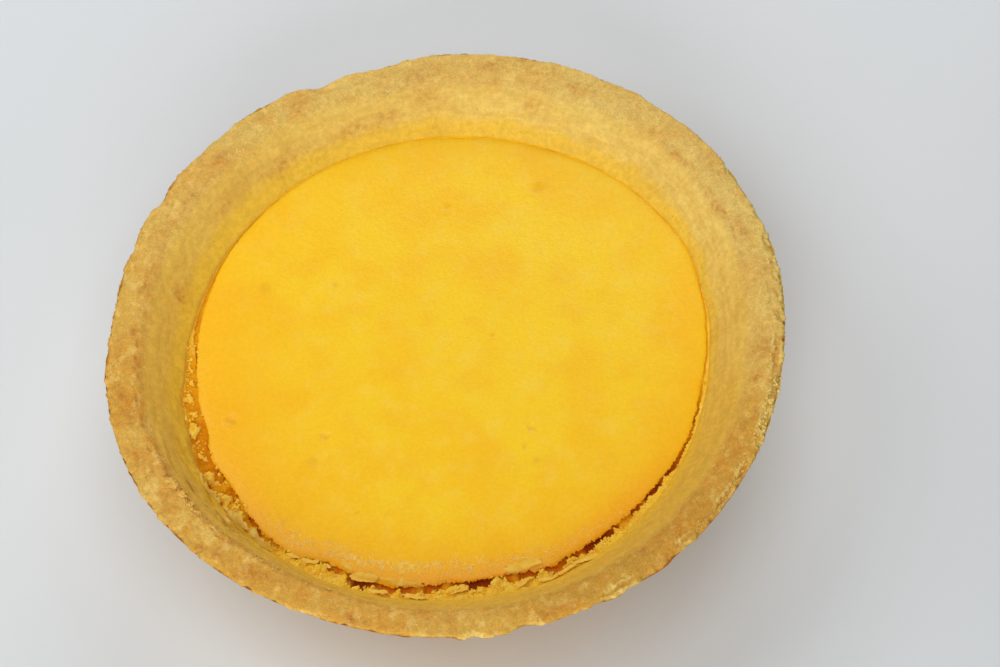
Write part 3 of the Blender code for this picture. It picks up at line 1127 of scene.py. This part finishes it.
def collar_top(share, azimuth, floor):
    """Where a point of its top goes, a share of the way out: radius, height, and the mark below."""
    start, end, lip, reach = collar_ends(azimuth)
    wide = moat(azimuth)
    if share < FACE_SHARE:
        rise = max(0.0, share / FACE_SHARE)
        radius = start + 0.0002 * rise
        height = floor + (lip - floor) * rise**0.8
        below = 1 - rise * (1 - 0.75 * wide)
    else:
        way = min(1.0, (share - FACE_SHARE) / (1 - FACE_SHARE))
        start += 0.0002
        radius = start + (end - start) * way
        height = lip + (reach - lip) * way ** (1.4 + 4.6 * wide)
        below = 0.75 * wide * (1 - eased(way, 0.6, 1.0))
    rough = from_polar(radius, azimuth, height)
    fade = 1 - eased(share, 0.85, 1.0)
    crumb = 0.00026 * (grains(rough, 0.0012) - 0.5) + 0.00012 * (grains(rough, 0.0004) - 0.5)
    crumb *= (0.06 + tearing(azimuth)) * fade
    crumb += 0.00045 * wide * lumps(rough, 0.0016, 35) * fade
    height += crumb * (0.4 + 0.6 * eased(share, 0.1, 0.3))
    return radius - crumb * 0.8 * (1 - eased(share, FACE_SHARE, 0.6)), height, below


def make_collar():
    """A ring whose inner side is the crack's outer face and whose top slopes up to the wall."""
    ring = traced(
        (COLLAR_INNER, LEDGE_HEIGHT),
        (COLLAR_STEPS, (COLLAR_OUTER, LEDGE_HEIGHT)),
        (1, (COLLAR_OUTER, COLLAR_FOOT)),
        (1, (COLLAR_INNER, COLLAR_FOOT)),
        (1, (COLLAR_INNER, LEDGE_HEIGHT)),
    )
    mesh = turned(ring, collar_halvings)
    rows = []
    for vertex in mesh.verts:
        radius, azimuth = polar(vertex.co)
        share = (radius - COLLAR_INNER) / (COLLAR_OUTER - COLLAR_INNER)
        floor = crack_foot(azimuth) - 0.0002
        if vertex.co.z > LEDGE_HEIGHT - SLACK:
            radius, height, below = collar_top(share, azimuth, floor)
            upslope = max(0.0, (share - FACE_SHARE) / (1 - FACE_SHARE))
        else:
            radius = collar_ends(azimuth)[0 if share < 0.5 else 1]
            height = COLLAR_FOOT
            below = 1.0
            upslope = 0.0
        vertex.co = from_polar(radius, azimuth, height)
        below = below * (FILLING_LEVEL - floor) / DARKEST_DEPTH
        rows.append({"below": below, "upslope": upslope})
    return piece_from(mesh, "torn_collar", rows)


def collar_finish():
    """Torn cheese on the pastry: yellow-orange, paler to the wall, deep orange with painted shade in
    the crack.
    """
    finish = Finish("torn_cheese", 0.9, 0.1)
    depth = finish.mark("below")
    finish.colour = finish.mixed(finish.clouds(0.003, 2, 0.35, 0.65), (248, 200, 56), (243, 184, 44))
    finish.layer(finish.clouds(0.0009, 3, 0.5, 0.7, 0, 0.6), (250, 216, 98))
    finish.layer(finish.ranged(finish.mark("upslope"), 0.5, 1.0), (236, 194, 78))
    # Down the crack: deeper orange cheese, and painted shade darkening it with depth
    finish.layer(finish.ranged(depth, 0.05, 0.4), (226, 152, 12))
    finish.layer(finish.ranged(depth, 0.4, 0.8), (212, 126, 2))
    finish.layer(finish.ranged(depth, 0.85, 1.05), (178, 76, 0))
    finish.waxy(0.1, 0.0008)
    return finish.finished((finish.grain(0.0006, 3), 0.00010), (finish.grain(0.00025, 2), 0.00005))


torn_collar = make_collar()
torn_collar.data.materials.append(collar_finish())
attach(torn_collar, "root")


# ------------------------------------------------------------
# Torn skin: thin flakes of the filling's own skin, which pulled loose where it tore and lie over
# the crack on its near side.
# ------------------------------------------------------------

# Azimuth and radius of the middle, length round, width across, lift of inner and outer edge, turn
# in degrees, how ragged
SKIN_FLAKES = (
    (245.5, 0.03285, 0.0037, 0.0012, 0.00006, 0.00034, -11, 0.4),
    (241, 0.032, 0.0022, 0.0006, 0.00002, 0.0001, 20, 0.8),
    (253.2, 0.0325, 0.0046, 0.0009, 0.00001, 0.00008, 0, 0.8),
    (274.6, 0.0333, 0.0022, 0.0007, 0.0003, 0.0003, 70, 0.8),
    (276, 0.0338, 0.0016, 0.0006, 0.00035, 0.00035, 40, 0.8),
    (280, 0.0317, 0.005, 0.0012, 0.00002, 0.0003, 3, 0.6),
    (229.6, 0.03375, 0.0018, 0.0006, 0.0002, 0.0005, -15, 1),
    (233.5, 0.03325, 0.002, 0.0008, 0.0001, 0.00035, -20, 1),
    (237.2, 0.03285, 0.0014, 0.0006, 0.0001, 0.0003, 12, 1),
    (250.2, 0.0344, 0.002, 0.0006, 0.0008, 0.00105, -8, 0.9),
    (257, 0.03455, 0.0029, 0.0007, 0.00085, 0.0011, 4, 0.9),
    (265.8, 0.0335, 0.0026, 0.0009, 0.00055, 0.0008, -5, 1),
    (279.4, 0.03385, 0.0024, 0.0007, 0.00055, 0.00085, -18, 1),
    (283.6, 0.03455, 0.0029, 0.0006, 0.00085, 0.00115, 8, 0.9),
    (287.5, 0.0344, 0.0028, 0.0006, 0.00085, 0.0011, -6, 0.9),
    (292.5, 0.0343, 0.0026, 0.0007, 0.0008, 0.0011, 10, 1),
)
FLAKE_THICKNESS = 0.00014
LONG_FLAKE = 0.003  # a longer one is divided once more


def pressed_ball(mesh, divisions):
    """The vertices of a ball to press flat: its x runs along the flake, y across, z through it."""
    return bmesh.ops.create_icosphere(mesh, subdivisions=divisions, radius=1)["verts"]


def make_skin_flakes():
    """Each is a small leaf of skin with torn sides, laid along the surface, its edge lifted."""
    mesh = bmesh.new()
    for count, flake in enumerate(SKIN_FLAKES):
        azimuth, radius, length, width, inner_lift, outer_lift, turn, raggedness = flake
        swing = Matrix.Rotation(math.radians(turn), 2)
        for vertex in pressed_ball(mesh, 5 if length > LONG_FLAKE else 4):
            along, across, through = vertex.co
            side = Vector((along, across, 0))
            if side.length > 0.01:
                side.normalize()
            rim = Vector((side.x * length / 2, side.y * width / 2, count * 0.01))
            torn = 1 + raggedness * (0.5 * lumps(rim, 0.0009, 41) + 0.5 * lumps(rim, 0.0003, 42))
            flat = swing @ Vector((along * length / 2 * torn, across * width / 2 * torn))
            at = (azimuth + math.degrees(flat.x / radius)) % 360
            out = radius + flat.y
            lift = inner_lift + (outer_lift - inner_lift) * (across + 1) / 2
            seat = Vector((flat.x, flat.y, count * 0.01))
            lift += 0.00012 * lumps(seat, 0.0008, 43) + through * FLAKE_THICKNESS / 2
            vertex.co = from_polar(out, at, skin_height(at, min(out, skin_end(at))) + lift)
    return piece_from(mesh, "skin_flakes")


# Dry skin: matt, paler and less orange than the moist cheese
dry_skin = mottled(
    "dry_cheese_skin",
    roughness=0.7,
    specular=0.15,
    clouds=(0.0012, 3),
    tones=((246, 202, 86), (244, 186, 58)),
    bumps=((0.0004, 3, 0.00008),),
)
skin_flakes = make_skin_flakes()
skin_flakes.data.materials.append(dry_skin)
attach(skin_flakes, "root")


# ------------------------------------------------------------
# Torn pastry strips: papery curls of the wall's surface, which the shrinking filling pulled off at
# the left. Each is still rooted in the wall along one side.
# ------------------------------------------------------------

# Each strip: its (azimuth, radius, height) points, its width, and how far its free edge leans from
# outward, in degrees
WALL_STRIPS = (
    (((201.5, 0.0351, 0.0154), (205.5, 0.0353, 0.0157), (209.5, 0.0351, 0.0155)), 0.0010, 125),
    (((207.2, 0.0352, 0.0154), (208.8, 0.0352, 0.0156), (211.0, 0.0350, 0.0154)), 0.0005, 110),
    (((212.4, 0.0351, 0.0155), (215.8, 0.0353, 0.0159), (219.8, 0.0352, 0.0155)), 0.0013, 130),
    (((219.2, 0.0350, 0.0150), (220.8, 0.0352, 0.0156), (222.6, 0.0351, 0.0153)), 0.0009, 150),
    (((222.0, 0.0352, 0.0150), (224.0, 0.0353, 0.0155), (226.6, 0.0352, 0.0150)), 0.0008, 125),
    (((204.0, 0.0366, 0.0171), (208.5, 0.0368, 0.0174), (213.5, 0.0367, 0.0172)), 0.0006, 105),
    (((212.5, 0.0362, 0.0167), (216.0, 0.0363, 0.0170), (220.5, 0.0362, 0.0167)), 0.0006, 108),
)
STRIP_THICKNESS = 0.00016
STRIP_SEED = 51


def on_path(points, share):
    """The (azimuth, radius, height) at a share of the way along a list of points."""
    place = share * (len(points) - 1)
    step = min(int(place), len(points) - 2)
    left = place - step
    return [start + (end - start) * left for start, end in zip(points[step], points[step + 1])]


def make_strips(name, strips, seed):
    """Each strip is rooted along its path and leans off it, with a ragged free edge."""
    mesh = bmesh.new()
    for count, (points, width, lean) in enumerate(strips):
        rise = math.radians(lean)
        for vertex in pressed_ball(mesh, 5):
            share = vertex.co.x / 2 + 0.5
            out = vertex.co.y / 2 + 0.5
            azimuth, radius, height = on_path(points, share)
            azimuth %= 360
            height += rim_lift(azimuth) * eased(height, FILLING_LEVEL, HEIGHT)
            radius += swelled(azimuth, RIM_SWELLS) * eased(height, FILLING_LEVEL, HEIGHT)
            root = from_polar(radius, azimuth, height)
            ragged = 0.9 + 0.7 * lumps(root, 0.0013, seed + count) + 0.25 * lumps(root, 0.0003, seed)
            outward = from_polar(1, azimuth, 0)
            wave = 0.0005 * lumps(root, 0.0012, seed + 5) + 0.0001 * lumps(root, 0.0005, seed + 6)
            free = outward * math.cos(rise) + Vector((0, 0, math.sin(rise)))
            facing = Vector((0, 0, math.cos(rise))) - outward * math.sin(rise)
            through = facing * vertex.co.z * STRIP_THICKNESS / 2
            vertex.co = root + free * width * ragged * out + outward * wave * out + through
    return piece_from(mesh, name)


# Pale unbrowned shortcrust, from under the baked surface
pale_crumb = mottled(
    "pale_shortcrust",
    roughness=0.85,
    specular=0.15,
    clouds=(0.0010, 3),
    tones=((232, 204, 108), (217, 178, 74)),
    bumps=((0.0004, 3, 0.00008),),
)
wall_strips = make_strips("wall_strips", WALL_STRIPS, STRIP_SEED)
wall_strips.data.materials.append(pale_crumb)
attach(wall_strips, "root")


# ------------------------------------------------------------
# Crumbs: bits of shortcrust loose on the rim and hanging on its broken edge, and bits of cheese in
# the torn crack. They are stuck where they broke off.
# ------------------------------------------------------------

# Azimuth from and to, radius from and to, how many, half size from and to, how pale they broke
PASTRY_SCATTER = (
    (329, 342, 0.0411, 0.0424, 230, 0.00007, 0.0002, 1),
    (343, 357, 0.0404, 0.0413, 50, 0.00006, 0.00015, 0.8),
    (346, 388, 0.0412, 0.0426, 110, 0.00007, 0.00016, 0.7),
    (308, 326, 0.0412, 0.042, 120, 0.00007, 0.00015, 0.7),
    (178, 262, 0.0387, 0.0424, 500, 0.00006, 0.00013, 0.2),
    (262, 326, 0.0388, 0.0424, 300, 0.00006, 0.00012, 0.3),
    (30, 178, 0.0388, 0.0424, 400, 0.00006, 0.00012, 0.2),
    (198, 243, 0.0381, 0.0388, 130, 0.00008, 0.0002, 0.2),
    (190, 350, 0.036, 0.038, 30, 0.00006, 0.00012, 0.4),
)
# Clumps: azimuth, radius, half size
PASTRY_CLUMPS = (
    (205.6, 0.0383, 0.00064), (207, 0.0383, 0.0004), (209, 0.0385, 0.0006),
    (211.4, 0.0385, 0.0004), (203.2, 0.0386, 0.0003), (213.5, 0.0385, 0.00034),
    (217.5, 0.0385, 0.00026), (329.4, 0.0419, 0.00026),
)
CHEESE_SCATTER = (
    (224, 262, 0.0334, 0.0347, 260, 0.00007, 0.0002, 0),
    (262, 330, 0.033, 0.0344, 300, 0.00006, 0.00018, 0),
    (168, 215, 0.0322, 0.0342, 200, 0.00008, 0.00026, 0),
)
# Cheese crumbs on the torn edges: azimuth from and to, how far out from the edge from and to, how
# many, half size from and to
CHEESE_FRINGES = (
    (222, 325, -0.00008, 0.0004, 330, 0.00005, 0.00015),
    (170, 222, -0.00008, 0.0003, 130, 0.00006, 0.00015),
)
CHEESE_CLUMPS = (
    (179.5, 0.0324, 0.00034), (183, 0.033, 0.0006), (187.6, 0.0327, 0.00036),
    (190.6, 0.0331, 0.0006), (192, 0.0333, 0.0005), (197.4, 0.0336, 0.00036),
    (202.6, 0.0341, 0.0006), (203.9, 0.0338, 0.0007), (205, 0.0336, 0.0005),
    (207.4, 0.0346, 0.00036), (209.3, 0.0339, 0.0006), (211.5, 0.0346, 0.00034),
    (213, 0.034, 0.0005), (214.2, 0.0338, 0.00055), (217.5, 0.0344, 0.0004),
    (219.8, 0.0346, 0.0004), (245, 0.0347, 0.0004), (250.5, 0.0346, 0.00026),
    (257.5, 0.0342, 0.00036), (261.5, 0.0334, 0.00045), (264, 0.0333, 0.0005),
    (266, 0.0333, 0.0005), (268.4, 0.0339, 0.0004), (273.4, 0.0332, 0.00044),
    (283.7, 0.0331, 0.00042), (284.6, 0.0334, 0.00042), (286, 0.0345, 0.0004),
    (290.8, 0.0334, 0.00028),
)
OUTER_SHARE = 0.75  # of the fringe, the crumbs on the outer side of the crack
SKIN_FRINGE = (-0.00016, -0.00004)  # how far in from the torn edge of the skin the others lie
DROP_HEIGHT = 0.03  # crumbs are dropped from here
LOWEST_CRUMB = FILLING_LEVEL - 0.003
CRUMBS_IN_CLUMP = 7
CLUMP_PALENESS = 0.3
CRUMB_STRETCHES = ((0.7, 1.3), (0.7, 1.3), (0.6, 0.9))
MIDDLE_CRUMB, LARGE_CRUMB = 0.00012, 0.00030  # the half sizes past which they have more faces
PASTRY_SEED, CHEESE_SEED, FRINGE_SEED = 7, 8, 9


def make_crumbs(name, chosen, grounds, seed):
    """Lumpy little grains, each sunk a little into whichever of the grounds lies under it."""
    draw = random.Random(seed)
    trees = []
    for ground in grounds:
        places = [vertex.co for vertex in ground.data.vertices]
        trees.append(BVHTree.FromPolygons(places, [face.vertices for face in ground.data.polygons]))
    middle = box_middle()
    mesh = bmesh.new()
    rows = []
    for azimuth, radius, size, paleness in chosen:
        swell = swelled(azimuth, RIM_SWELLS) * eased(radius, 0.036, 0.0385)
        above = from_polar(radius + swell, azimuth, DROP_HEIGHT)
        hits = [tree.ray_cast(above - middle, Vector((0, 0, -1))) for tree in trees]
        hits = [hit for hit in hits if hit[0] and hit[0].z > LOWEST_CRUMB]
        if not hits:
            continue
        place, normal, _, _ = max(hits, key=lambda hit: hit[0].z)
        fine = 3 if size > LARGE_CRUMB else 2 if size > MIDDLE_CRUMB else 1
        ball = bmesh.ops.create_icosphere(mesh, subdivisions=fine, radius=size)["verts"]
        spread = Matrix.Diagonal([draw.uniform(*limits) for limits in CRUMB_STRETCHES])
        turn = any_turn(draw) @ Matrix.Rotation(draw.uniform(0, 1), 3, "X")
        for vertex in ball:
            dent = 1 + 0.6 * lumps(vertex.co + place, size * 0.8, seed)
            vertex.co = place + middle + turn @ (spread @ vertex.co) * dent + normal * size * 0.3
        rows += [{"baked": oven_tone_and_shade(azimuth % 360), "flaked": paleness}] * len(ball)
    return piece_from(mesh, name, rows, 35)


def scattered(rows, clumps, seed):
    """Each crumb's azimuth, radius, size and paleness, drawn from the rows and round the clumps."""
    draw = random.Random(seed)
    chosen = []
    for start, end, inner, outer, many, small, large, paleness in rows:
        for _ in range(many):
            size = small + (large - small) * draw.random() ** 2
            chosen.append((draw.uniform(start, end) % 360, draw.uniform(inner, outer), size, paleness))
    for azimuth, radius, size in clumps:
        for _ in range(CRUMBS_IN_CLUMP):
            turn = math.degrees(draw.gauss(0, 0.5) * size / radius)
            out = radius + draw.gauss(0, 0.35) * size
            chosen.append((azimuth + turn, out, size * draw.uniform(0.4, 0.85), CLUMP_PALENESS))
    return chosen


def fringed(rows, seed):
    """Crumbs along the outer side of the crack, and a few on the torn edge of the skin."""
    draw = random.Random(seed)
    chosen = []
    for start, end, nearest, furthest, many, small, large in rows:
        for _ in range(many):
            azimuth = draw.uniform(start, end)
            edge = skin_end(azimuth) + skin_jag(azimuth)
            if draw.random() < OUTER_SHARE:
                edge += crack_width(azimuth)
                out = draw.uniform(nearest, furthest)
            else:
                out = draw.uniform(*SKIN_FRINGE)
            size = small + (large - small) * draw.random() ** 2
            chosen.append((azimuth, edge + out, size, 0))
    return chosen


# Crumbs of cheese: paler than the block they broke from, and matt
broken_cheese = mottled(
    "cheese_crumb",
    roughness=0.7,
    specular=0.15,
    clouds=(0.0008, 3),
    tones=((250, 210, 82), (245, 190, 50)),
    bumps=((0.00025, 2, 0.00005),),
)

pastry_places = scattered(PASTRY_SCATTER, PASTRY_CLUMPS, PASTRY_SEED)
pastry_crumbs = make_crumbs("pastry_crumbs", pastry_places, [pastry_shell], PASTRY_SEED)
pastry_crumbs.data.materials.append(pastry)
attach(pastry_crumbs, "root")

cheese_places = scattered(CHEESE_SCATTER, CHEESE_CLUMPS, CHEESE_SEED)
cheese_places += fringed(CHEESE_FRINGES, FRINGE_SEED)
grounds = [cheese_filling, torn_collar]
cheese_crumbs = make_crumbs("cheese_crumbs", cheese_places, grounds, CHEESE_SEED)
cheese_crumbs.data.materials.append(broken_cheese)
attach(cheese_crumbs, "root")


# ------------------------------------------------------------
# The stage: a plain pale table, soft light from above and in front with weaker lamps behind and at
# the left, and the camera above the near side.
# ------------------------------------------------------------

CAMERA_AZIMUTH = -92.127
CAMERA_ELEVATION = 58.698
CAMERA_DISTANCE = 0.34668
CAMERA_ROLL = 5.679
AIM = Vector((0.006685, -0.001869, HEIGHT))  # from the rim circle's middle
LENS = 100.8  # millimetres
SENSOR = 36
CLIP_START = 0.01
TABLE_HALF = 1.5
# Azimuth, elevation, distance, size across, power
LAMPS = {
    "overhead": (270, 75, 0.6, 0.5, 1.18),
    "front": (262, 25, 0.5, 0.35, 1.60),
    "back": (75, 30, 0.28, 0.2, 0.33),
    "left": (165, 50, 0.28, 0.2, 0.22),
}
DAYLIGHT = 0.05
WHITE = (1.0, 1.0, 1.0, 1.0)


def make_floor():
    finish = Finish("pale_table", 0.7, 0.5)
    finish.colour = finish.mixed(finish.clouds(0.12, 2, 0.3, 0.7), (220, 223, 225), (216, 220, 222))
    mesh = bmesh.new()
    bmesh.ops.create_grid(mesh, x_segments=8, y_segments=8, size=TABLE_HALF)
    data = bpy.data.meshes.new("table_top")
    mesh.to_mesh(data)
    mesh.free()
    data.materials.append(finish.finished())
    table = in_scene("table_top", data)


def way_to(azimuth, elevation):
    turn = math.radians(azimuth)
    rise = math.radians(elevation)
    return Vector((math.cos(turn) * math.cos(rise), math.sin(turn) * math.cos(rise), math.sin(rise)))


def make_lamps():
    for name, (azimuth, elevation, distance, size, power) in LAMPS.items():
        data = bpy.data.lights.new(name, "AREA")
        data.shape = "DISK"
        data.size = size
        data.energy = power
        lamp = in_scene(name, data)
        way = way_to(azimuth, elevation)
        lamp.location = way * distance
        lamp.rotation_euler = way.to_track_quat("Z", "Y").to_euler()


def make_camera():
    data = bpy.data.cameras.new("camera")
    data.lens = LENS
    data.sensor_width = SENSOR
    data.clip_start = CLIP_START
    way = way_to(CAMERA_AZIMUTH, CAMERA_ELEVATION)
    facing = way.to_track_quat("Z", "Y").to_matrix().to_4x4()
    facing = facing @ Matrix.Rotation(-math.radians(CAMERA_ROLL), 4, "Z")
    aim = AIM - box_middle()
    camera = in_scene("camera", data)
    camera.matrix_world = Matrix.Translation(aim + way * CAMERA_DISTANCE) @ facing
    bpy.context.scene.camera = camera


make_floor()
make_camera()
make_lamps()
world = bpy.data.worlds.new("studio")
bpy.context.scene.world = world
world.use_nodes = True
background = world.node_tree.nodes["Background"]
background.inputs["Color"].default_value = WHITE
background.inputs["Strength"].default_value = DAYLIGHT
bpy.context.scene.view_settings.view_transform = "Standard"
